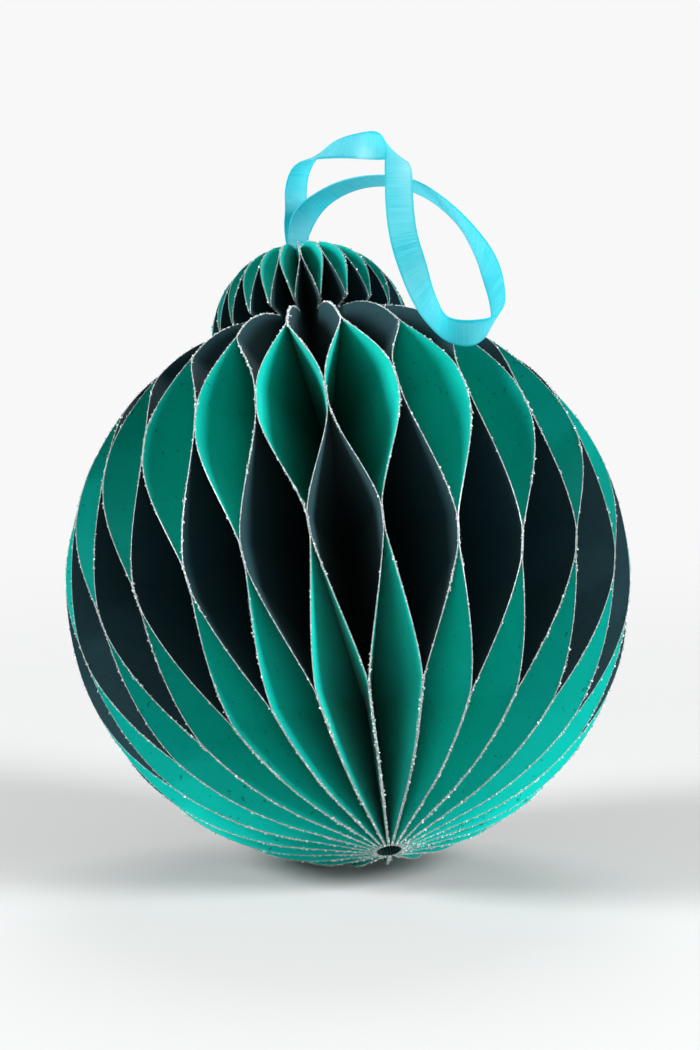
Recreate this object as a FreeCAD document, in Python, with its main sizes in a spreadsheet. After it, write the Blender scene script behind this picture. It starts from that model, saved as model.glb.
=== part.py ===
import FreeCAD, Part
import math
import os

import Sketcher

# Honeycomb paper ball: a ball and a small cap, opened out of a glued block of
# half-silhouette card leaves, hung from a loop of satin ribbon.
# Frame: millimetres, +Z up along the spine, origin at the top of the cap, where
# the ribbon leaves. -Y is the front.

doc = FreeCAD.newDocument("honeycomb_ball")

# ---------------------------------------------------------------- driving sizes
sizes = doc.addObject("Spreadsheet::Sheet", "sizes")

DRIVING = {
    # the card and the block
    "card_thickness": (0.3, "one leaf of card"),
    "glue_film": (0.04, "dried glue between two glued leaves"),
    "leaf_count": (48, "leaves round the spine, an even number"),
    # the silhouette that is cut out of each leaf
    "ball_radius": (60, "ball"),
    "foot_point": (2, "how far the ball's foot runs out below its round"),
    "neck_radius": (15, "throat between the ball and the cap"),
    "neck_height": (1.5, "straight part of the throat"),
    "cap_radius": (20.8, "cap at its widest"),
    "cap_lip": (3, "round under the widest part of the cap"),
    "cap_shoulder": (12, "round above the widest part of the cap"),
    "cap_rise": (16.2, "from the widest part of the cap to its top"),
    # the glue seams, as heights over the ball's centre
    "seam_length": (4.5, "height of one glue seam"),
    "foot_seam": (-49.2, "odd pairs, held together from here down"),
    "lower_seam": (-14.5, "even pairs"),
    "upper_seam": (18.9, "odd pairs"),
    "shoulder_seam": (43.2, "even pairs, held together from here through the neck"),
    "neck_seam_over": (1.5, "how far the even pairs stay together above the throat"),
    "cap_seam_drop": (7, "odd pairs, held together from this far under the cap's top"),
    "tight_tip": (0.75, "share of its even slope with which a leaf leaves most seams"),
    "soft_tip": (0.2, "the same at the upper seam, which was only dabbed with glue"),
    # the ribbon
    "ribbon_width": (6, "flat satin ribbon"),
    "ribbon_thickness": (0.4, "flat satin ribbon"),
}
for row, (alias, (value, note)) in enumerate(DRIVING.items(), start=1):
    sizes.set(f"A{row}", str(value))
    sizes.setAlias(f"A{row}", alias)
    sizes.set(f"B{row}", note)

# Sizes that follow from the driving ones. The leaves lie card to card at the
# spine, so the bore up the middle is as wide as so many thicknesses need.
DERIVED = {
    "half_pitch": "=180deg / leaf_count",
    "stack_half": "=(card_thickness + glue_film) / 2",
    "core_radius": "=stack_half / tan(half_pitch)",
    "overcut": "=2 * card_thickness",
    "sheet_edge": "=ball_radius + overcut",
    "swing": "=sheet_edge * tan(half_pitch) - stack_half",
    "throat": "=sqrt(ball_radius ^ 2 - neck_radius ^ 2)",
    "cap_waist": "=throat + neck_height + cap_lip",
    "cap_top": "=cap_waist + cap_rise",
    "cap_crown": "=(cap_rise ^ 2 + (cap_radius - cap_shoulder) ^ 2 - cap_shoulder ^ 2)"
                 " / (2 * (cap_rise - cap_shoulder))",
    "foot_depth": "=ball_radius + foot_point",
    "sheet_foot": "=-foot_depth - overcut",
    "sheet_head": "=cap_top + overcut",
    "neck_seam": "=throat + neck_height + neck_seam_over",
    "cap_seam": "=cap_top - cap_seam_drop",
    "foot_end": "=foot_seam + seam_length / 2",
    "lower_start": "=lower_seam - seam_length / 2",
    "lower_end": "=lower_seam + seam_length / 2",
    "upper_start": "=upper_seam - seam_length / 2",
    "upper_end": "=upper_seam + seam_length / 2",
}
for row, (alias, formula) in enumerate(DERIVED.items(), start=len(DRIVING) + 1):
    sizes.set(f"A{row}", formula)
    sizes.setAlias(f"A{row}", alias)
doc.recompute()


def size(alias):
    """A size of the sheet as a plain number, in millimetres or degrees."""
    value = getattr(sizes, alias)
    return getattr(value, "Value", value)


def point(x, y):
    return FreeCAD.Vector(x, y, 0)


def bind(sketch, constraint, formula):
    """Add a constraint whose value the sheet drives."""
    sketch.setExpression(f"Constraints[{sketch.addConstraint(constraint)}]", formula)


def pin(sketch, geometry, end, x=None, y=None):
    """Drive one end's x and y from the sheet: each is a (value, formula) pair."""
    for kind, coordinate in (("DistanceX", x), ("DistanceY", y)):
        if coordinate:
            value, formula = coordinate
            bind(sketch, Sketcher.Constraint(kind, -1, 1, geometry, end, value), formula)


# ------------------------------------------------------------ the bent leaf card
# Card bends but doesn't stretch. Along a seam it is flat against its neighbour, and
# between two seams it fans out from one point of the spine, half way between them,
# over to its other neighbour. Each stretch that lies flat is given as (lowest height,
# highest height, side of the leaf it is glued on, how the leaf leaves it).
FLATS = [
    ("sheet_foot", "foot_end", 1, "tight_tip"),
    ("lower_start", "lower_end", -1, "tight_tip"),
    ("upper_start", "upper_end", 1, "soft_tip"),
    ("shoulder_seam", "neck_seam", -1, "tight_tip"),
    ("cap_seam", "sheet_head", 1, "tight_tip"),
]
FACETS_PER_SWING = 4


def swing_points(before, after):
    """The outer edge between two flats, as corners on a cubic that takes each seam's
    share of the even slope at its ends."""
    low, high, side = size(before[1]), size(after[0]), before[2]
    leave, arrive = 2 * size(before[3]), 2 * size(after[3])
    points = []
    for step in range(1, FACETS_PER_SWING):
        x = step / FACETS_PER_SWING
        share = 1 - leave * x + (2 * leave + arrive - 6) * x ** 2 + (4 - leave - arrive) * x ** 3
        points.append((side * size("swing") * share, low + (high - low) * x))
    return points


def bent_card(name, hand):
    """One uncut leaf as a closed shell of facets. hand mirrors it for the next leaf."""
    inner, outer = size("core_radius"), size("sheet_edge")
    half_card = size("card_thickness") / 2
    centres = [size("sheet_foot")]
    centres += [(size(before[1]) + size(after[0])) / 2 for before, after in zip(FLATS, FLATS[1:])]
    centres.append(size("sheet_head"))

    def corner(x, y, height, face):
        return FreeCAD.Vector(x, hand * y + face * half_card, height)

    def facet(*corners):
        return Part.Face(Part.makePolygon([*corners, corners[0]]))

    edge = []
    sides = {1: [], -1: []}
    for number, (low, high, side, tip) in enumerate(FLATS):
        edge += [(side * size("swing"), size(low)), (side * size("swing"), size(high))]
        fan = [edge[-1]]
        if number + 1 < len(FLATS):
            fan += swing_points(FLATS[number], FLATS[number + 1])
            edge += fan[1:]
            fan.append((-fan[0][0], size(FLATS[number + 1][0])))
        for face, facets in sides.items():
            facets.append(facet(
                corner(inner, 0, centres[number], face),
                corner(outer, side * size("swing"), size(low), face),
                corner(outer, side * size("swing"), size(high), face),
                corner(inner, 0, centres[number + 1], face)))
            facets += [facet(corner(inner, 0, centres[number + 1], face),
                             corner(outer, *start, face), corner(outer, *end, face))
                       for start, end in zip(fan, fan[1:])]
    rim = [(outer, *place) for place in edge]
    rim += [(inner, 0, height) for height in reversed(centres)]
    faces = sides[1] + sides[-1]
    for start, end in zip(rim, rim[1:] + rim[:1]):
        faces.append(facet(corner(*start, 1), corner(*end, 1), corner(*end, -1), corner(*start, -1)))
    card = doc.addObject("Part::Feature", name)
    card.Shape = Part.Solid(Part.Shell(faces))
    return card


cards = [bent_card("right_hand_card", 1), bent_card("left_hand_card", -1)]

# -------------------------------------------------------------- the die-cut shape
# Half of the ornament's outline: spine, ball with its foot run out straight, throat,
# and the cap's lip, shoulder and crown as tangent arcs.
outline = doc.addObject("Sketcher::SketchObject", "half_outline")
outline.Placement = FreeCAD.Placement(FreeCAD.Vector(), FreeCAD.Rotation(FreeCAD.Vector(1, 0, 0), 90))


def outline_arc(centre_x, centre_y, radius, first, last):
    circle = Part.Circle(point(centre_x, centre_y), FreeCAD.Vector(0, 0, 1), radius)
    return outline.addGeometry(
        Part.ArcOfCircle(circle, math.radians(first), math.radians(last)), False)


def outline_line(x0, y0, x1, y1):
    return outline.addGeometry(Part.LineSegment(point(x0, y0), point(x1, y1)), False)


core, ball, neck = size("core_radius"), size("ball_radius"), size("neck_radius")
foot = -size("foot_depth")
foot_turn = math.degrees(math.atan2(foot, core) + math.acos(ball / math.hypot(core, foot)))
lip, shoulder, crown = size("cap_lip"), size("cap_shoulder"), size("cap_crown")
waist, underside = size("cap_waist"), size("throat") + size("neck_height")
blend = math.degrees(math.atan2(size("cap_waist") - size("cap_top") + crown,
                                size("cap_radius") - shoulder))
crown_end = math.degrees(math.acos(core / crown))
head = size("cap_top") - crown + math.sqrt(crown ** 2 - core ** 2)

foot_line = outline_line(core, foot, ball * math.cos(math.radians(foot_turn)),
                         ball * math.sin(math.radians(foot_turn)))
ball_arc = outline_arc(0, 0, ball, foot_turn, math.degrees(math.atan2(size("throat"), neck)))
throat_line = outline_line(neck, size("throat"), neck, underside)
under_line = outline_line(neck, underside, size("cap_radius") - lip, underside)
lip_arc = outline_arc(size("cap_radius") - lip, waist, lip, -90, 0)
shoulder_arc = outline_arc(size("cap_radius") - shoulder, waist, shoulder, 0, blend)
crown_arc = outline_arc(0, size("cap_top") - crown, crown, blend, crown_end)
spine_line = outline_line(core, head, core, foot)

outline.addConstraint([
    Sketcher.Constraint("Tangent", foot_line, 2, ball_arc, 1),
    Sketcher.Constraint("Coincident", ball_arc, 3, -1, 1),
    Sketcher.Constraint("Coincident", ball_arc, 2, throat_line, 1),
    Sketcher.Constraint("Vertical", throat_line),
    Sketcher.Constraint("Coincident", throat_line, 2, under_line, 1),
    Sketcher.Constraint("Horizontal", under_line),
    Sketcher.Constraint("Tangent", under_line, 2, lip_arc, 1),
    Sketcher.Constraint("Tangent", lip_arc, 2, shoulder_arc, 1),
    Sketcher.Constraint("Tangent", shoulder_arc, 2, crown_arc, 1),
    Sketcher.Constraint("PointOnObject", crown_arc, 3, -2),
    Sketcher.Constraint("Coincident", crown_arc, 2, spine_line, 1),
    Sketcher.Constraint("Vertical", spine_line),
    Sketcher.Constraint("Coincident", spine_line, 2, foot_line, 1),
])
bind(outline, Sketcher.Constraint("Radius", ball_arc, ball), "sizes.ball_radius")
bind(outline, Sketcher.Constraint("Radius", lip_arc, lip), "sizes.cap_lip")
bind(outline, Sketcher.Constraint("Radius", shoulder_arc, shoulder), "sizes.cap_shoulder")
bind(outline, Sketcher.Constraint("Radius", crown_arc, crown), "sizes.cap_crown")
pin(outline, throat_line, 1, (neck, "sizes.neck_radius"))
pin(outline, under_line, 1, None, (underside, "sizes.throat + sizes.neck_height"))
pin(outline, lip_arc, 2, (size("cap_radius"), "sizes.cap_radius"))
pin(outline, spine_line, 1, (core, "sizes.core_radius"))
pin(outline, foot_line, 1, None, (foot, "-sizes.foot_depth"))

die = doc.addObject("Part::Extrusion", "die")
die.Base = outline
die.DirMode = "Normal"
die.Solid = True
die.Symmetric = True
die.LengthFwd = 3 * size("swing")
die.setExpression("LengthFwd", "3 * sizes.swing")

# ------------------------------------------------------------------- the 48 leaves
# Left-hand and right-hand leaves alternate round the spine, each turned on by
# one pitch. The first pair is glued along the plane front_pair_turn to the
# right of straight ahead.
FRONT_PAIR_TURN = -5.7
parts = []
for number in range(int(size("leaf_count"))):
    leaf = doc.addObject("Part::Common", f"leaf_{number + 1:02d}")
    leaf.Base = cards[number % 2]
    leaf.Tool = die
    leaf.Placement = FreeCAD.Placement(FreeCAD.Vector(0, 0, -size("cap_top")),
                                       FreeCAD.Rotation(FreeCAD.Vector(0, 0, 1), 1))
    leaf.setExpression("Placement.Base.z", "-sizes.cap_top")
    leaf.setExpression("Placement.Rotation.Angle",
                       f"{FRONT_PAIR_TURN - 90} deg + {2 * number + 1} * sizes.half_pitch")
    parts.append(leaf)

# --------------------------------------------------------------------- the ribbon
# Hanging loop, slack: out of the bore, over to the right, down to rest on the
# ball's shoulder in front, and back up and over into the bore. The points are
# chosen by hand, and each one is rounded as widely as its two runs allow.
ROUTE = [FreeCAD.Vector(*place) for place in (
    (0, 0.6, 0.2), (0, 0.6, 5), (1, 1.5, 11.5), (1.5, -0.5, 18), (4, -4.5, 21.5),
    (10, -9, 21.5), (17.5, -14, 18.5), (24.5, -20.5, 13), (24, -25, 4), (23, -29.5, -5),
    (22.5, -34, -16), (23.5, -38.5, -26.5), (24.5, -42, -35), (26, -44.5, -41), (28, -47, -46.5),
    (32.5, -47.5, -48.5), (37, -46, -47), (39.5, -43.5, -43), (40, -41, -36), (39.5, -37, -28.5),
    (38, -32.5, -20), (34.5, -26.5, -8.5), (28.5, -19, 3), (21, -11.5, 10.5), (13.5, -6.5, 13.5),
    (7, -3, 13), (2, -2, 9), (0, -0.6, 4.5), (0, -0.6, 0.2),
)]
ARC_SHARE = 0.45


def rounded_path(points):
    """Straight runs joined by tangent arcs, and the radius of each arc."""
    edges, radii, start = [], [], points[0]
    for before, corner, after in zip(points, points[1:], points[2:]):
        back, on = before - corner, after - corner
        cut = ARC_SHARE * min(back.Length, on.Length)
        half_turn = (math.pi - back.getAngle(on)) / 2
        radii.append(cut / math.tan(half_turn))
        first = corner + back.normalize() * cut
        last = corner + on.normalize() * cut
        inward = (back + on).normalize()
        middle = corner + inward * (radii[-1] / math.cos(half_turn) - radii[-1])
        edges += [Part.LineSegment(start, first).toShape(), Part.Arc(first, middle, last).toShape()]
        start = last
    edges.append(Part.LineSegment(start, points[-1]).toShape())
    return Part.Wire(edges), radii


ribbon_path = doc.addObject("Part::Feature", "ribbon_path")
ribbon_path.Shape, bend_radii = rounded_path(ROUTE)

ribbon_section = doc.addObject("Part::Plane", "ribbon_section")
ribbon_section.Length = size("ribbon_width")
ribbon_section.Width = size("ribbon_thickness")
ribbon_section.setExpression("Length", "sizes.ribbon_width")
ribbon_section.setExpression("Width", "sizes.ribbon_thickness")
ribbon_section.Placement.Base = ROUTE[0]
ribbon_section.setExpression("Placement.Base.x", f"{ROUTE[0].x} - sizes.ribbon_width / 2")
ribbon_section.setExpression("Placement.Base.y", f"{ROUTE[0].y} - sizes.ribbon_thickness / 2")

ribbon = doc.addObject("Part::Sweep", "ribbon")
ribbon.Sections = [ribbon_section]
ribbon.Spine = (ribbon_path, [])
ribbon.Solid = True
parts.append(ribbon)

# ------------------------------------------------------------ checks, then the files
doc.recompute()
for item in doc.Objects:
    if {"Invalid", "Error"} & set(item.State):
        raise SystemExit(f"{item.Name} did not build: {item.State}")
for part in parts:
    if part.Shape.isNull() or not part.Shape.isValid() or len(part.Shape.Solids) != 1:
        raise SystemExit(f"{part.Label} is not one valid solid")

strip_volume = size("ribbon_width") * size("ribbon_thickness") * ribbon_path.Shape.Length
print("ribbon length", round(ribbon_path.Shape.Length, 1), "mm")
print("ribbon volume over section times length", round(ribbon.Shape.Volume / strip_volume, 4))
print("ribbon bend radii", [round(radius, 1) for radius in bend_radii])
print("leaf volume", round(parts[0].Shape.Volume, 1), "core radius", round(size("core_radius"), 3))

os.makedirs("parts", exist_ok=True)
for part in parts:
    part.Shape.exportStep(f"parts/{part.Label}.step")
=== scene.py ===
import math
import random
import bpy
import bmesh
from mathutils import Matrix, Vector


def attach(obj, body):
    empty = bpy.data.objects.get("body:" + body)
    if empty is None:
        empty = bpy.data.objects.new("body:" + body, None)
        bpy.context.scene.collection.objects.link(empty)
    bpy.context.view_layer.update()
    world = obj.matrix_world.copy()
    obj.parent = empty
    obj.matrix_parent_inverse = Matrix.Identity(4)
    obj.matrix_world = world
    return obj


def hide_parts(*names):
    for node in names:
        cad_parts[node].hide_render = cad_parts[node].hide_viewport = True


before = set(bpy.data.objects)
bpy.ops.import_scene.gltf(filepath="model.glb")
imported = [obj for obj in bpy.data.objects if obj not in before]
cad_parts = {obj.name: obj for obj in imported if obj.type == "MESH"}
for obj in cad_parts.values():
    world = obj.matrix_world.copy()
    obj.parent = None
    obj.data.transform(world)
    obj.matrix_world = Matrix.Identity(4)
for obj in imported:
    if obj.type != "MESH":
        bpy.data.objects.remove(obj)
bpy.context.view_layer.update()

# ------------------------------------------------------------------ card leaves
# 48 leaves of coloured card, green on one side and near-black teal on the other,
# die-cut to one half outline. They are glued to each other at alternate heights, so
# when the block is opened round its spine each leaf swings between its neighbours.
MM = 0.001
LEAF_COUNT = 48
CARD_THICKNESS = 0.3 * MM
STACK_HALF = 0.17 * MM
PITCH = math.tau / LEAF_COUNT
BORE_RADIUS = STACK_HALF / math.tan(PITCH / 2)
BALL_RADIUS = 60 * MM
BALL_CENTRE = -78.79 * MM
FOOT_DEPTH = 62 * MM
SHEET_EDGE = BALL_RADIUS + 2 * CARD_THICKNESS
# Away from the spine the card is drawn thinner, and moved towards the neighbour that it
# swings to by as much, so that the gap at a seam stays. What lies nearer the spine than
# AT_SPINE has the full thickness and isn't moved.
EDGE_THICKNESS = 0.22 * MM
DRAWN_IN = (CARD_THICKNESS - EDGE_THICKNESS) / 2
AT_SPINE = 0.01 * MM
NECK_RADIUS = 17 * MM
NECK_HEIGHT = 0.6 * MM
CAP_RADIUS = 21.7 * MM
CAP_LIP = 1 * MM
CAP_SHOULDER = 16.5 * MM
CAP_RISE = 21.2 * MM


def line_points(start, end, count):
    """Points of a straight stretch of the outline, without its first."""
    return [(start[0] + (end[0] - start[0]) * step / count,
             start[1] + (end[1] - start[1]) * step / count) for step in range(1, count + 1)]


def arc_points(centre_x, centre_z, radius, first, last, count):
    """Points of a round stretch of the outline, without its first."""
    angles = [first + (last - first) * step / count for step in range(1, count + 1)]
    return [(centre_x + radius * math.cos(a), centre_z + radius * math.sin(a)) for a in angles]


def half_outline():
    """The die-cut edge from the foot to the top, as (distance from the spine, height
    over the ball's centre)."""
    throat = math.sqrt(BALL_RADIUS ** 2 - NECK_RADIUS ** 2)
    underside = throat + NECK_HEIGHT
    waist = underside + CAP_LIP
    top = waist + CAP_RISE
    reach = CAP_RADIUS - CAP_SHOULDER
    crown = (CAP_RISE ** 2 + reach ** 2 - CAP_SHOULDER ** 2) / (2 * (CAP_RISE - CAP_SHOULDER))
    blend = math.atan2(waist - top + crown, reach)
    foot = (BORE_RADIUS, -FOOT_DEPTH)
    foot_turn = math.atan2(foot[1], foot[0]) + math.acos(BALL_RADIUS / math.hypot(*foot))
    points = [foot]
    points += line_points(foot, (BALL_RADIUS * math.cos(foot_turn),
                                 BALL_RADIUS * math.sin(foot_turn)), 14)
    points += arc_points(0, 0, BALL_RADIUS, foot_turn, math.acos(NECK_RADIUS / BALL_RADIUS), 140)
    points += line_points((NECK_RADIUS, throat), (NECK_RADIUS, underside), 2)
    points += line_points((NECK_RADIUS, underside), (CAP_RADIUS - CAP_LIP, underside), 2)
    points += arc_points(CAP_RADIUS - CAP_LIP, waist, CAP_LIP, -math.pi / 2, 0, 6)
    points += arc_points(reach, waist, CAP_SHOULDER, 0, blend, 6)
    points += arc_points(0, top - crown, crown, blend, math.acos(BORE_RADIUS / crown), 24)
    return points


# Glue seams, as heights over the ball's centre: lowest, highest, whether the leaf lies
# on its upper neighbour (+1) or its lower one (-1) by angle, and the share of its even
# slope with which it leaves the glue. The card leaves the upper seam and the one at the
# cap's top the most slowly.
SEAMS = [
    (-62.6 * MM, -46.95 * MM, 1, 0.75),
    (-16.75 * MM, -12.25 * MM, -1, 0.75),
    (16.65 * MM, 21.15 * MM, 1, 0.2),
    (43.2 * MM, 43.4 * MM, -1, 0.75),
    (87.0 * MM, 91.5 * MM, 1, 0.15),
]
# Glued by hand: how many millimetres the seams of a pair sit off their height, by the
# pair's place from the front, and how far its plane is turned at an azimuth in degrees.
FOOT_SEAM_OFF = {-3: -0.1, -2: -0.4, -1: 0.5, 0: 0, 1: 0.2, 2: -2.4, 3: -0.4}
LOWER_SEAM_OFF = {-4: 1.5, -3: 0.4, -2: -1.2, -1: -0.6, 0: 2.3, 1: 1.9, 2: -1.4, 3: -2.8,
                  4: 1.0, 5: 1.8}
UPPER_SEAM_OFF = {-1: -0.3, 0: -2.2, 1: 0.7, 2: 0.9}
SHOULDER_SEAM_OFF = {-1: 1.2, 0: 1.7, 1: 0.3, 2: -1.8}
PLANE_TURN = [(-180, 0), (-125, 2.5), (-65, 3.7), (-50, 2.5), (-35, 1.6), (-20, 0.1), (-6, -0.3),
              (9, -0.5), (24, -0.1), (39, 0), (54, 0.5), (69, 2.2), (125, 1.5), (180, 0)]


def between(table, where):
    """Straight-line value of a table of (place, value) at a place."""
    for (x0, y0), (x1, y1) in zip(table, table[1:]):
        if where <= x1:
            return y0 + (y1 - y0) * (where - x0) / (x1 - x0)
    return table[-1][1]


hand = random.Random(7)
pair_planes, pair_offsets = [], []
for pair in range(LEAF_COUNT):
    azimuth = -5.7 + 7.5 * pair
    azimuth -= 360 if azimuth > 180 else 0
    pair_planes.append(math.radians(azimuth - 90 + between(PLANE_TURN, azimuth)))
    place = pair // 2 if pair < LEAF_COUNT // 2 else pair // 2 - LEAF_COUNT // 2
    if pair % 2 == 0:
        pair_offsets.append({1: LOWER_SEAM_OFF.get(place, hand.gauss(0, 1.4)),
                             3: SHOULDER_SEAM_OFF.get(place, hand.gauss(0, 1.0))})
    else:
        pair_offsets.append({0: FOOT_SEAM_OFF.get(place, hand.gauss(0, 0.7)),
                             2: UPPER_SEAM_OFF.get(place, hand.gauss(0, 1.0)),
                             4: hand.gauss(0, 0.4)})


def leaf_seams(number):
    """The flats of one leaf, from the offsets of its two pairs. Odd leaves are mirrored
    even ones."""
    flats = []
    for index, (low, high, side, tip) in enumerate(SEAMS):
        side = side if number % 2 else -side
        pair = (number - 1 if side < 0 else number) % LEAF_COUNT
        off = pair_offsets[pair].get(index, 0) * MM
        flats.append((low + (off if index > 0 else 0), high + (off if index < 3 else 0),
                      side, tip))
    return flats


def swing(x, leave, arrive):
    """Where the card is at a share x of the way between two seams, 1 at the first and -1
    at the next: a cubic that takes each seam's share of the even slope."""
    return (1 - 2 * leave * x + (4 * leave + 2 * arrive - 6) * x ** 2
            + (4 - 2 * leave - 2 * arrive) * x ** 3)


def ruling(flats, reach, height):
    """Card bends but doesn't stretch, so a straight line of it runs from the spine to
    each point of the outline: its height at the spine, its height at the sheet's edge
    and its swing there, -1 to 1. Between two seams the lines fan out from one point."""
    share = max((reach - BORE_RADIUS) / (SHEET_EDGE - BORE_RADIUS), 1e-4)
    starts = [flats[0][0]] + [(a[1] + b[0]) / 2 for a, b in zip(flats, flats[1:])]
    ends = starts[1:] + [flats[-1][1]]
    for number, (low, high, side, tip) in enumerate(flats):
        start, end = starts[number], ends[number]
        along = (height - (1 - share) * start - share * low) / (
            (1 - share) * (end - start) + share * (high - low))
        if along <= 1 or number == len(flats) - 1:
            along = min(max(along, 0), 1)
            return start + (end - start) * along, low + (high - low) * along, side
        following = flats[number + 1]
        edge = end + (height - end) / share
        if edge < following[0]:
            x = (edge - high) / (following[0] - high)
            return end, edge, side * swing(x, tip, following[3])


OUTLINE = half_outline()
DEPTHS = [0, 0.45, 0.8, 1]


CAP_FOOT = BALL_CENTRE + math.sqrt(BALL_RADIUS ** 2 - NECK_RADIUS ** 2)
# Places of the finishes in a leaf's list of materials.
GREEN_FACE, DARK_FACE, GLITTER_LINE, CUT_EDGE, GRAINS, CAP_LINE = range(6)


def bent_leaf(bm, number):
    """One leaf's card: a flat grid bent along its rulings and given its thickness.
    Returns the line of its cut edge and the leaf's turn round the spine."""
    flats = leaf_seams(number)
    lower, upper = pair_planes[number - 1], pair_planes[number % LEAF_COUNT]
    upper += math.tau if upper < lower - 1 else 0
    slope = math.tan((upper - lower) / 2)
    turn = Matrix.Rotation((lower + upper) / 2, 3, "Z")
    lines = [ruling(flats, reach, height) for reach, height in OUTLINE]
    bmesh.ops.create_grid(bm, x_segments=len(DEPTHS) - 1, y_segments=len(OUTLINE) - 1, size=0.5)
    for vert in bm.verts:
        depth = DEPTHS[round((vert.co.x + 0.5) * (len(DEPTHS) - 1))]
        column = round((vert.co.y + 0.5) * (len(OUTLINE) - 1))
        spine, edge, side = lines[column]
        out = (OUTLINE[column][0] - BORE_RADIUS) * depth
        rise = spine + (edge - spine) * out / (SHEET_EDGE - BORE_RADIUS)
        drawn = DRAWN_IN if out > AT_SPINE else 0
        vert.co = (BORE_RADIUS + out, side * (slope * out + drawn) - CARD_THICKNESS / 2 + drawn,
                   rise + BALL_CENTRE)
    bmesh.ops.remove_doubles(bm, verts=bm.verts, dist=1e-7)
    thick = bmesh.ops.extrude_face_region(bm, geom=bm.faces[:])["geom"]
    for item in thick:
        if isinstance(item, bmesh.types.BMVert):
            at_spine = item.co.x < BORE_RADIUS + AT_SPINE
            item.co.y += CARD_THICKNESS if at_spine else EDGE_THICKNESS
    bmesh.ops.recalc_face_normals(bm, faces=bm.faces)
    green_side = -1 if number % 2 else 1
    for face in bm.faces:
        if abs(face.normal.y) > 0.5:
            face.material_index = GREEN_FACE if face.normal.y * green_side > 0 else DARK_FACE
            face.smooth = True
        elif face.calc_center_median().x < BORE_RADIUS + AT_SPINE:
            face.material_index = CUT_EDGE
        else:
            on_cap = face.calc_center_median().z > CAP_FOOT
            face.material_index = CAP_LINE if on_cap else GLITTER_LINE
    for edge in bm.edges:
        edge.smooth = len({face.material_index for face in edge.link_faces}) == 1
    bmesh.ops.rotate(bm, verts=bm.verts, cent=(0, 0, 0), matrix=turn)
    rim = [turn @ Vector((reach, side * (slope * (reach - BORE_RADIUS) + DRAWN_IN),
                          height + BALL_CENTRE))
           for (reach, height), (spine, edge, side) in zip(OUTLINE, lines)]
    return rim, turn


def srgb(text):
    """Linear colour of an sRGB hex value."""
    parts = [int(text[i:i + 2], 16) / 255 for i in (0, 2, 4)]
    return tuple(p / 12.92 if p <= 0.04045 else ((p + 0.055) / 1.055) ** 2.4 for p in parts) + (1,)


def node(tree, kind, settings=None, **inputs):
    """Add one shader node: settings are its own properties, inputs are values or links,
    and i0, i1... name an input by its number."""
    made = tree.nodes.new(kind)
    for name, value in (settings or {}).items():
        setattr(made, name, value)
    for name, value in inputs.items():
        socket = made.inputs[int(name[1:]) if name[0] == "i" and name[1:].isdigit()
                             else name.replace("_", " ")]
        if isinstance(value, bpy.types.NodeSocket):
            tree.links.new(value, socket)
        else:
            socket.default_value = value
    return made


def new_material(name):
    made = bpy.data.materials.new(name)
    made.use_nodes = True
    made.node_tree.nodes.clear()
    return made, made.node_tree


def dyed_card(name, shade, paler, roughness):
    """Uncoated dyed card: matt, faintly cloudy where the pulp took the dye unevenly,
    with a fine tooth and a few dark flecks of fibre."""
    made, tree = new_material(name)
    place = node(tree, "ShaderNodeTexCoord")
    cloud = node(tree, "ShaderNodeTexNoise", None, Vector=place.outputs["Object"],
                 Scale=420.0, Detail=4.0, Roughness=0.6)
    tint = node(tree, "ShaderNodeMix", {"data_type": "RGBA"}, Factor=cloud.outputs["Fac"],
                i6=srgb(shade), i7=srgb(paler))
    fleck = node(tree, "ShaderNodeTexNoise", None, Vector=place.outputs["Object"],
                 Scale=900.0, Detail=1.0)
    rare = node(tree, "ShaderNodeMapRange", None, Value=fleck.outputs["Fac"],
                i1=0.71, i2=0.75, i3=0.0, i4=0.5)
    flecked = node(tree, "ShaderNodeMix", {"data_type": "RGBA"}, Factor=rare.outputs["Result"],
                   i6=tint.outputs[2], i7=srgb("08302C"))
    fibre = node(tree, "ShaderNodeTexNoise", None, Vector=place.outputs["Object"],
                 Scale=3200.0, Detail=2.0)
    tooth = node(tree, "ShaderNodeBump", None, Strength=0.12, Distance=0.05 * MM,
                 Height=fibre.outputs["Fac"])
    shader = node(tree, "ShaderNodeBsdfPrincipled", None, Base_Color=flecked.outputs[2],
                  Roughness=roughness, Specular_IOR_Level=0.1, Sheen_Weight=0.12,
                  Sheen_Roughness=0.4, Sheen_Tint=srgb("B8E2DE"), Normal=tooth.outputs["Normal"])
    node(tree, "ShaderNodeOutputMaterial", None, Surface=shader.outputs["BSDF"])
    return made


green_card = dyed_card("green_card", "00B4A7", "00C0B2", 0.85)
dark_card = dyed_card("dark_teal_card", "203D44", "27474E", 0.8)
cut_card = dyed_card("cut_card", "1E3438", "27454A", 0.9)


def silver_flakes(name, dull, bright):
    """Silver polyester glitter set in clear glue: each flake of about 0.2 mm turns its own share
    of the light to the eye, so a row of them sparkles unevenly. That sparkle is painted: each
    flake gets a random colour from dull to bright, as painted glints."""
    made, tree = new_material(name)
    place = node(tree, "ShaderNodeTexCoord")
    flake = node(tree, "ShaderNodeTexVoronoi", None, Vector=place.outputs["Object"], Scale=4200.0)
    shade = node(tree, "ShaderNodeMix", {"data_type": "RGBA"}, Factor=flake.outputs["Color"],
                 i6=srgb(dull), i7=srgb(bright))
    shader = node(tree, "ShaderNodeBsdfPrincipled", None, Base_Color=shade.outputs[2],
                  Metallic=0.15, Roughness=0.35)
    node(tree, "ShaderNodeOutputMaterial", None, Surface=shader.outputs["BSDF"])
    return made


# The glue left on the card's edge holds the finest glitter, the grains stand on it. On the cap the
# edge line is drawn in duller colours.
glitter_line = silver_flakes("glitter_glue", "2A3435", "D2DCDC")
cap_line = silver_flakes("cap_glitter_glue", "3C5050", "8C9C9C")
silver_glitter = silver_flakes("silver_glitter", "98A4A5", "FFFFFF")
GRAIN_DOUBLINGS = 10
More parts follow.
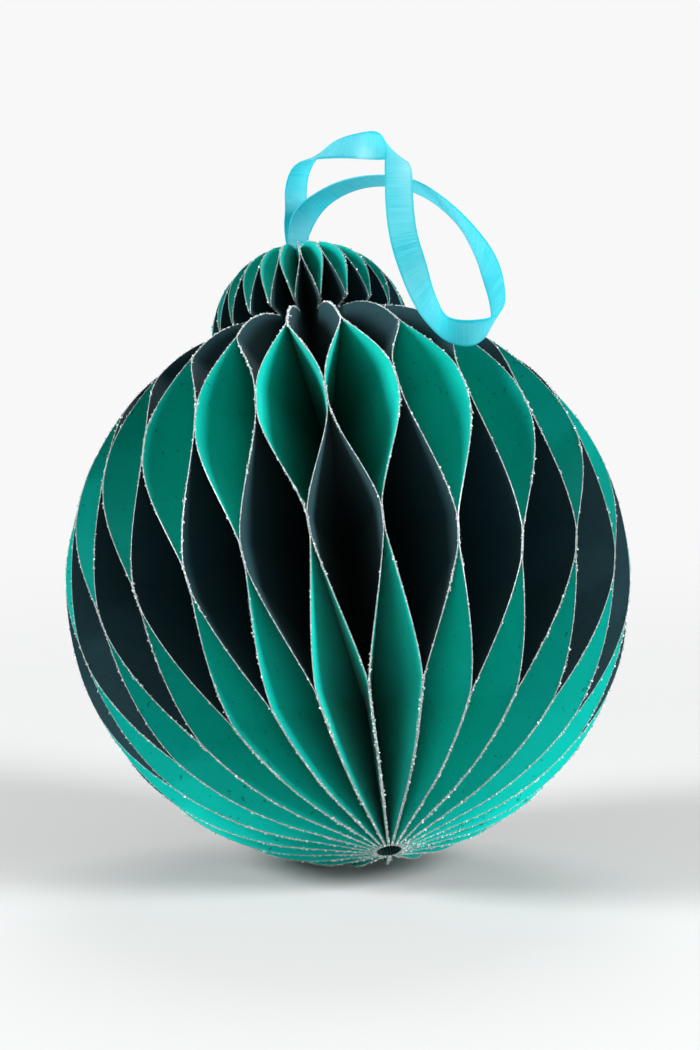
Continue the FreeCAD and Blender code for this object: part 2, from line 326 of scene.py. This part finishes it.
# Patches that took more glitter: how many to a leaf, how many stretches of the outline
# each reaches to both sides, and how much more it took. The cap took less.
PATCH_COUNT = 7
PATCH_REACH = 4
PATCH_EXTRA = 2.5
CAP_SHARE = 0.4
# Sizes of specks and crumbs, the share of crumbs, and how far grains stray sideways and
# from the edge, all in millimetres.
SPECK = (0.05, 0.12)
CRUMB = (0.18, 0.36)
CRUMB_SHARE = 0.1
STRAY, PATCH_STRAY = 0.04, 0.14
SET_IN, STAND_OUT = -0.15, 0.06


def glitter_edge(rim, turn, seed):
    """Mesh of the glitter grains on one leaf's cut edge: most are specks, a few are
    crumbs of several grains, and here and there the glue took more of them."""
    chance = random.Random(seed)
    side = turn @ Vector((0, 1, 0))
    runs = [(start, end, (end - start).cross(side).normalized())
            for start, end in zip(rim, rim[1:]) if (end - start).length > 1e-6]
    patches = [chance.randrange(len(runs)) for patch in range(PATCH_COUNT)]
    heavy = [any(abs(index - patch) < PATCH_REACH for patch in patches)
             for index in range(len(runs))]
    weights = [(end - start).length * (1 + PATCH_EXTRA * heavy[index])
               * (CAP_SHARE if start.z > CAP_FOOT else 1)
               for index, (start, end, out) in enumerate(runs)]
    bm = bmesh.new()
    bmesh.ops.create_cone(bm, cap_ends=True, segments=3, radius1=1, radius2=0, depth=1.2)
    for doubling in range(GRAIN_DOUBLINGS):
        bmesh.ops.duplicate(bm, geom=bm.verts[:] + bm.edges[:] + bm.faces[:])
    grains = [{vert for face in first.link_faces for vert in face.verts} for first in bm.verts
              if first.co.z > 0]
    for grain, index in zip(grains, chance.choices(range(len(runs)), weights, k=len(grains))):
        start, end, out = runs[index]
        spot = start.lerp(end, chance.random())
        spot += side * chance.gauss(0, PATCH_STRAY if heavy[index] else STRAY) * MM
        spot += out * chance.uniform(SET_IN, STAND_OUT) * MM
        size = chance.uniform(*(CRUMB if chance.random() < CRUMB_SHARE else SPECK))
        axis = Vector((chance.gauss(0, 1), chance.gauss(0, 1), chance.gauss(0, 1))).normalized()
        pose = (Matrix.Translation(spot) @ Matrix.Rotation(chance.uniform(0, math.tau), 4, axis)
                @ Matrix.Scale(size * MM, 4))
        for vert in grain:
            vert.co = pose @ vert.co
    for face in bm.faces:
        face.material_index = GRAINS
    mesh = bpy.data.meshes.new("grains")
    bm.to_mesh(mesh)
    bm.free()
    return mesh


for number in range(1, LEAF_COUNT + 1):
    name = f"leaf_{number:02d}"
    bm = bmesh.new()
    rim, turn = bent_leaf(bm, number)
    grains = glitter_edge(rim, turn, number)
    bm.from_mesh(grains)
    bpy.data.meshes.remove(grains)
    mesh = bpy.data.meshes.new(f"card_{name}")
    bm.to_mesh(mesh)
    bm.free()
    leaf = bpy.data.objects.new(f"card_{name}", mesh)
    bpy.context.scene.collection.objects.link(leaf)
    for finish in (green_card, dark_card, glitter_line, cut_card, silver_glitter, cap_line):
        mesh.materials.append(finish)
    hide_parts(name)
    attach(leaf, "root")

# ------------------------------------------------------------------------ ribbon
# Hanging loop of 6 mm satin ribbon, woven from polyester with a selvedge on each side.
# Its two ends go down the bore of the card block. It is slack, and falls over
# to the right in soft folds until it rests on the ball's shoulder.
RIBBON_WIDTH = 6 * MM
RIBBON_THICKNESS = 0.3 * MM
RIBBON_LENGTH = 230.5 * MM
# The ends run on down the bore, pinched to this share of the width to fit it. They stay
# so for the first rows of the mesh and then widen by a step a row.
RIBBON_TAIL = 3 * MM
PINCHED, PINCHED_ROWS, WIDENING = 0.78, 5, 0.02
# Each place is given with the direction across the ribbon there.
RIBBON_ROUTE = [
    ((0, 0.6, 0.2), (-1, -0.06, 0)), ((0, 0.6, 5), (-0.99, -0.07, 0.09)),
    ((1, 1.5, 11.5), (-0.81, -0.58, 0.04)), ((1.5, -0.5, 18), (-0.77, -0.62, -0.14)),
    ((4, -4.5, 21.5), (-0.63, -0.73, -0.25)), ((10, -9, 21.5), (-0.43, -0.35, -0.83)),
    ((17.5, -14, 18.5), (-0.38, 0.19, -0.91)), ((24.5, -20.5, 13), (0.49, 0.79, -0.38)),
    ((24, -25, 4), (0.99, 0.07, -0.12)), ((23, -29.5, -5), (0.99, 0.08, -0.11)),
    ((22.5, -34, -16), (1, 0.06, 0)), ((23.5, -38.5, -26.5), (0.94, -0.27, 0.21)),
    ((24.5, -42, -35), (0.71, -0.6, 0.37)), ((26, -44.5, -41), (0.42, -0.78, 0.47)),
    ((28, -47, -46.5), (0.11, -0.89, 0.45)), ((32.5, -47.5, -48.5), (0.12, -0.8, 0.59)),
    ((37, -46, -47), (0.32, -0.91, 0.25)), ((39.5, -43.5, -43), (0.57, -0.8, 0.21)),
    ((40, -41, -36), (0.61, -0.72, 0.32)), ((39.5, -37, -28.5), (0.62, -0.66, 0.43)),
    ((38, -32.5, -20), (0.26, -0.83, 0.5)), ((34.5, -26.5, -8.5), (-0.17, -0.88, 0.45)),
    ((28.5, -19, 3), (-0.37, -0.84, 0.4)), ((21, -11.5, 10.5), (-0.59, -0.8, 0.11)),
    ((13.5, -6.5, 13.5), (-0.52, -0.85, -0.04)), ((7, -3, 13), (-0.37, -0.93, 0.03)),
    ((2, -2, 9), (-0.62, -0.72, 0.31)), ((0, -0.6, 4.5), (-0.76, -0.64, 0.07)),
    ((0, -0.6, 0.2), (-1, -0.06, 0)),
]


def nurbs_line(corners):
    """Points along the smooth line that a list of corners steers."""
    curve = bpy.data.curves.new("line", "CURVE")
    curve.dimensions = "3D"
    spline = curve.splines.new("NURBS")
    spline.points.add(len(corners) - 1)
    for point, corner in zip(spline.points, corners):
        point.co = (*corner, 1)
    spline.order_u = 3
    spline.use_endpoint_u = True
    spline.resolution_u = 12
    holder = bpy.data.objects.new("line", curve)
    bpy.context.scene.collection.objects.link(holder)
    points = [vert.co.copy() for vert in holder.to_mesh().vertices]
    holder.to_mesh_clear()
    bpy.data.objects.remove(holder)
    bpy.data.curves.remove(curve)
    return points


centre_line = nurbs_line([Vector(place) * MM for place, across in RIBBON_ROUTE])
side_line = nurbs_line([Vector(place) * MM + Vector(across) * RIBBON_WIDTH / 2
                        for place, across in RIBBON_ROUTE])
down = Vector((0, 0, -RIBBON_TAIL))
rows = [(centre_line[0] + down, side_line[0] + down), *zip(centre_line, side_line),
        (centre_line[-1] + down, side_line[-1] + down)]
last = len(rows) - 1
ACROSS_PARTS = 6
bm = bmesh.new()
weave_map = bm.loops.layers.uv.new("weave")
bmesh.ops.create_grid(bm, x_segments=ACROSS_PARTS, y_segments=last, size=0.5)
for face in bm.faces:
    for loop in face.loops:
        loop[weave_map].uv = ((loop.vert.co.x + 0.5) * RIBBON_WIDTH / MM,
                              (loop.vert.co.y + 0.5) * (RIBBON_LENGTH + 2 * RIBBON_TAIL) / MM)
for vert in bm.verts:
    row = round((vert.co.y + 0.5) * last)
    middle, side = rows[row]
    along = (rows[min(row + 1, last)][0] - rows[max(row - 1, 0)][0]).normalized()
    across = side - middle
    across = (across - along * across.dot(along)).normalized()
    past_pinch = max(0, min(row, last - row) - PINCHED_ROWS)
    width = RIBBON_WIDTH * min(1, PINCHED + WIDENING * past_pinch)
    vert.co = middle + across * vert.co.x * width
bmesh.ops.solidify(bm, geom=bm.faces[:], thickness=RIBBON_THICKNESS)
bmesh.ops.recalc_face_normals(bm, faces=bm.faces)
for face in bm.faces:
    face.smooth = True
for edge in bm.edges:
    edge.smooth = edge.calc_face_angle() < 0.7
mesh = bpy.data.meshes.new("satin_ribbon")
bm.to_mesh(mesh)
bm.free()


def satin_weave():
    """Polyester satin: smooth and bright, deep in colour where light comes through it. Broad
    patches of painted sheen make it paler where the weft would shine to the lamps. The weft ribs
    are drawn at the 0.55 mm at which they show, and a denser selvedge runs along each side."""
    made, tree = new_material("polyester_satin")
    place = node(tree, "ShaderNodeUVMap", {"uv_map": "weave"})
    part = node(tree, "ShaderNodeSeparateXYZ", None, Vector=place.outputs["UV"])
    ribs = node(tree, "ShaderNodeMath", {"operation": "SINE"},
                i0=node(tree, "ShaderNodeMath", {"operation": "MULTIPLY"},
                        i0=part.outputs["Y"], i1=math.tau / 0.55).outputs["Value"])
    from_middle = node(tree, "ShaderNodeMath", {"operation": "ABSOLUTE"},
                       i0=node(tree, "ShaderNodeMath", {"operation": "SUBTRACT"},
                               i0=part.outputs["X"], i1=3.0).outputs["Value"])
    selvedge = node(tree, "ShaderNodeMapRange", None, Value=from_middle.outputs["Value"],
                    i1=2.45, i2=2.8, i3=0.0, i4=1.0)
    thread = node(tree, "ShaderNodeTexNoise", {"noise_dimensions": "2D"},
                  Vector=node(tree, "ShaderNodeMapping", None, Vector=place.outputs["UV"],
                              Scale=(0.05, 1.0, 1.0)).outputs["Vector"], Scale=2.0, Detail=3.0)
    weft = node(tree, "ShaderNodeMapRange", None, Value=thread.outputs["Fac"],
                i1=0.35, i2=0.65, i3=0.0, i4=1.0)
    # Painted sheen: broad noise patches mix the colour toward the pale cyan 84DAE2, standing in
    # for the satin's shine toward the lamps.
    sheen_noise = node(tree, "ShaderNodeTexNoise", {"noise_dimensions": "2D"},
               Vector=node(tree, "ShaderNodeMapping", None, Vector=place.outputs["UV"],
                           Location=(0.0, 2.6, 0.0),
                           Scale=(0.12, 0.07, 1.0)).outputs["Vector"], Scale=1.0, Detail=0.0)
    painted_sheen = node(tree, "ShaderNodeMapRange", None, Value=sheen_noise.outputs["Fac"],
                i1=0.35, i2=0.65, i3=0.1, i4=0.6)
    tint = node(tree, "ShaderNodeMix", {"data_type": "RGBA"}, Factor=weft.outputs["Result"],
                i6=srgb("18BECC"), i7=srgb("5CD6DF"))
    shade = node(tree, "ShaderNodeMix", {"data_type": "RGBA"}, Factor=painted_sheen.outputs["Result"],
                 i6=tint.outputs[2], i7=srgb("84DAE2"))
    edged = node(tree, "ShaderNodeMix", {"data_type": "RGBA"}, Factor=selvedge.outputs["Result"],
                 i6=shade.outputs[2], i7=srgb("1CBCCA"))
    relief = node(tree, "ShaderNodeMath", {"operation": "ADD"},
                  i0=ribs.outputs["Value"], i1=selvedge.outputs["Result"])
    bump = node(tree, "ShaderNodeBump", None, Strength=0.2, Distance=0.05 * MM,
                Height=relief.outputs["Value"])
    shader = node(tree, "ShaderNodeBsdfPrincipled", None, Base_Color=edged.outputs[2],
                  Roughness=0.38, Specular_IOR_Level=0.5, Normal=bump.outputs["Normal"])
    through = node(tree, "ShaderNodeBsdfTranslucent", None, Color=srgb("22E2EC"))
    thin = node(tree, "ShaderNodeMixShader", None, i0=0.5,
                i1=shader.outputs["BSDF"], i2=through.outputs["BSDF"])
    node(tree, "ShaderNodeOutputMaterial", None, Surface=thin.outputs["Shader"])
    return made


mesh.materials.append(satin_weave())
ribbon = bpy.data.objects.new("satin_ribbon", mesh)
bpy.context.scene.collection.objects.link(ribbon)
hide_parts("ribbon")
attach(ribbon, "root")

# ------------------------------------------------------------- floor and backdrop
# White paper, level where the ball lies tilted on its side, and running out into the
# white of the studio all round.
UP = Vector((0.1488, -0.5456, 0.8247))
GLITTER_HEIGHT = 0.4 * MM
ball_centre = Vector((0, 0, BALL_CENTRE))
contact = ball_centre - UP * (BALL_RADIUS + GLITTER_HEIGHT)
bm = bmesh.new()
bmesh.ops.create_grid(bm, x_segments=1, y_segments=1, size=1.5)
bmesh.ops.rotate(bm, verts=bm.verts, cent=(0, 0, 0),
                 matrix=Vector((0, 0, 1)).rotation_difference(UP).to_matrix())
bmesh.ops.translate(bm, verts=bm.verts, vec=contact)
mesh = bpy.data.meshes.new("floor")
bm.to_mesh(mesh)
bm.free()
floor = bpy.data.objects.new("floor", mesh)
bpy.context.scene.collection.objects.link(floor)
white_paper, tree = new_material("white_paper")
place = node(tree, "ShaderNodeTexCoord")
away = node(tree, "ShaderNodeVectorMath", {"operation": "DISTANCE"}, i0=place.outputs["Object"],
            i1=contact)
fade = node(tree, "ShaderNodeMapRange", {"interpolation_type": "SMOOTHSTEP"},
            Value=away.outputs["Value"], i1=0.08, i2=0.5, i3=0.0, i4=1.0)
back = node(tree, "ShaderNodeMath", {"operation": "MAXIMUM"}, i0=fade.outputs["Result"],
            i1=node(tree, "ShaderNodeNewGeometry").outputs["Backfacing"])
paper = node(tree, "ShaderNodeBsdfPrincipled", None, Base_Color=srgb("C6C7C7"), Roughness=0.9)
clear = node(tree, "ShaderNodeBsdfTransparent")
mixed = node(tree, "ShaderNodeMixShader", None, i0=back.outputs["Value"],
             i1=paper.outputs["BSDF"], i2=clear.outputs["BSDF"])
node(tree, "ShaderNodeOutputMaterial", None, Surface=mixed.outputs["Shader"])
mesh.materials.append(white_paper)

# The backdrop shows as a bright white to the camera and in gloss, and lights little.
world = bpy.data.worlds.new("studio")
bpy.context.scene.world = world
world.use_nodes = True
tree = world.node_tree
tree.nodes.clear()
path = node(tree, "ShaderNodeLightPath")
seen = node(tree, "ShaderNodeMath", {"operation": "MAXIMUM"}, i0=path.outputs["Is Camera Ray"],
            i1=path.outputs["Is Glossy Ray"])
seen = node(tree, "ShaderNodeMath", {"operation": "MAXIMUM"}, i0=seen.outputs["Value"],
            i1=path.outputs["Is Transmission Ray"])
strength = node(tree, "ShaderNodeMapRange", None, Value=seen.outputs["Value"], i3=0.1, i4=0.94)
background = node(tree, "ShaderNodeBackground", None, Color=(1, 1, 1, 1),
                  Strength=strength.outputs["Result"])
node(tree, "ShaderNodeOutputWorld", None, Surface=background.outputs["Background"])


def softbox(name, azimuth, elevation, distance, size, power):
    """A square softbox, placed by its direction from the ball in degrees."""
    level = Vector((0, -1, 0)) - UP * UP.dot(Vector((0, -1, 0)))
    heading = Matrix.Rotation(math.radians(azimuth), 3, UP) @ level.normalized()
    toward = heading * math.cos(math.radians(elevation)) + UP * math.sin(math.radians(elevation))
    data = bpy.data.lights.new(name, "AREA")
    data.shape = "SQUARE"
    data.size = size
    data.energy = power
    lamp = bpy.data.objects.new(name, data)
    bpy.context.scene.collection.objects.link(lamp)
    lamp.location = ball_centre + toward * distance
    lamp.rotation_mode = "QUATERNION"
    lamp.rotation_quaternion = toward.to_track_quat("Z", "Y")
    lamp.visible_camera = False


softbox("softbox_left", -70, 27, 1.1, 0.46, 15)
softbox("softbox_right", 67, 27, 1.1, 0.46, 15)
softbox("strip_left", -64, 5, 1.1, 0.18, 2.5)
softbox("strip_right", 62, 5, 1.1, 0.18, 4)
softbox("softbox_back", 180, 42, 1.2, 0.6, 6)

camera_data = bpy.data.cameras.new("camera")
camera = bpy.data.objects.new("camera", camera_data)
bpy.context.scene.collection.objects.link(camera)
camera_data.sensor_width = 36
camera_data.lens = 193.34
camera.location = (0, -1.0894, -0.58214)
camera.rotation_euler = [math.radians(a) for a in (115.64, 7.863, 3.64)]
bpy.context.scene.camera = camera
bpy.context.scene.view_settings.view_transform = "Standard"
